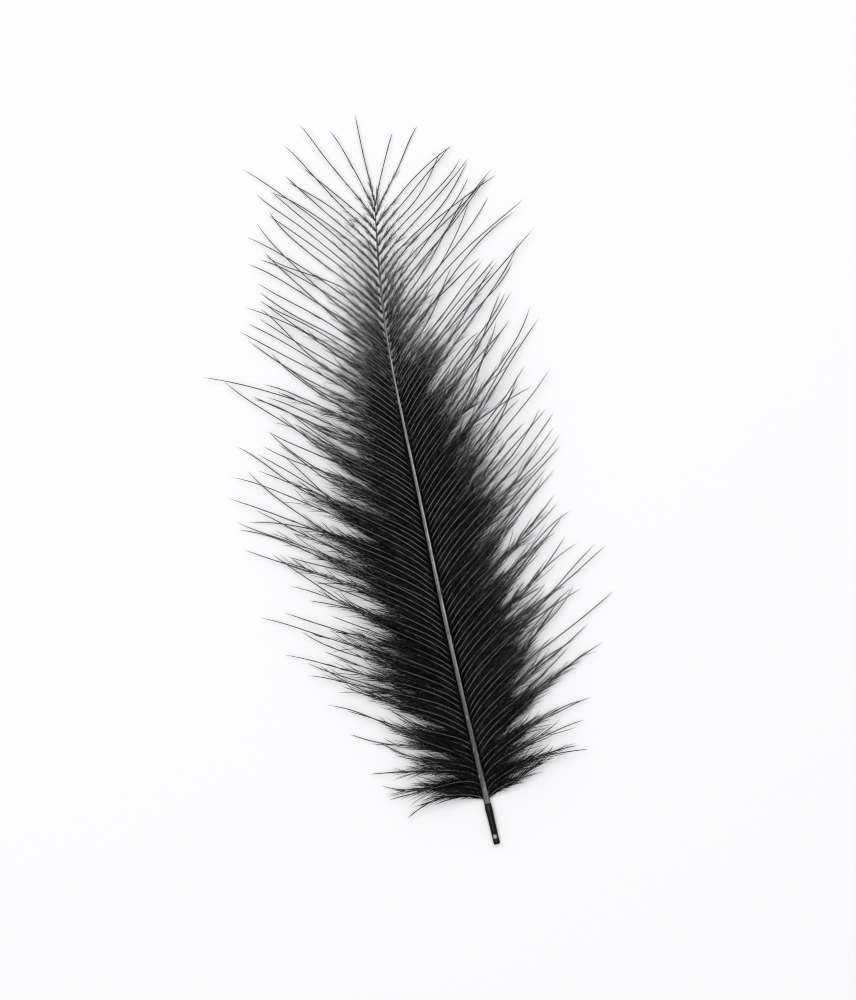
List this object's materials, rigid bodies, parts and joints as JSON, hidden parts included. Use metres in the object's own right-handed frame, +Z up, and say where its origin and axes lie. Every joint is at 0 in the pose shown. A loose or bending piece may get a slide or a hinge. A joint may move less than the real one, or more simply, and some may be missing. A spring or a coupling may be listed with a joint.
{
  "type": "cul de canard feather",
  "caption": "Soft dyed black duck feather lying flat: a slim stem with a cut quill, and loose fluffy barbs along both sides that close up to a fan at the tip.",
  "frame": {"origin": "under the middle of the feather's box, on the surface that it lies on", "axes": "+Z up from the surface, +Y along the stem from the cut quill to the tip, +X to the right seen from above"},
  "size_m": [0.0244, 0.0658, 0.0011],
  "materials": {
    "quill": "dyed horn, satin",
    "barbs": "dyed down, soft sheen"
  },
  "bodies": {
    "root": {"shaft": "quill", "left_vane": "barbs", "right_vane": "barbs"}
  },
  "joints": []
}
